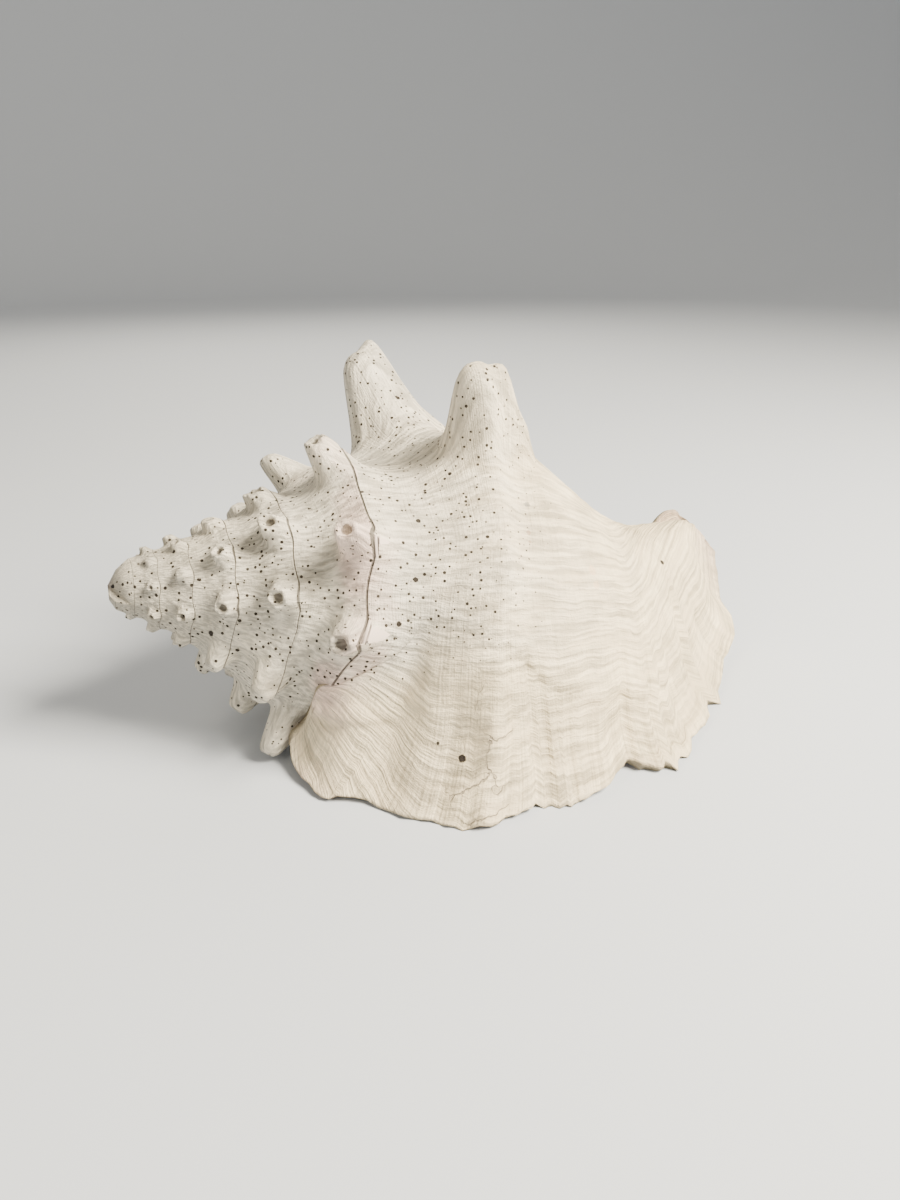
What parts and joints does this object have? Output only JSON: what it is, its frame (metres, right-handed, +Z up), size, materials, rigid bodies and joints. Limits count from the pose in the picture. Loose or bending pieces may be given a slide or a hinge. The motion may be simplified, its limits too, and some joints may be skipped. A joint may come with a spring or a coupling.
{
  "type": "queen conch shell",
  "caption": "Large sea snail shell with a knobbed spire, tall blunt spines, a canal and a wide flared lip, bleached chalky white, lying on its opening.",
  "frame": {"origin": "floor level below the middle of the shell's bounding box", "axes": "+Z up as the shell lies on its opening; the spire points to -X, the canal to +X, and the edge of the lip faces -Y"},
  "size_m": [0.215, 0.1414, 0.1159],
  "materials": {
    "shell": "matt, chalky, old bleached shell"
  },
  "bodies": {
    "root": {"shell": "shell"}
  },
  "joints": []
}
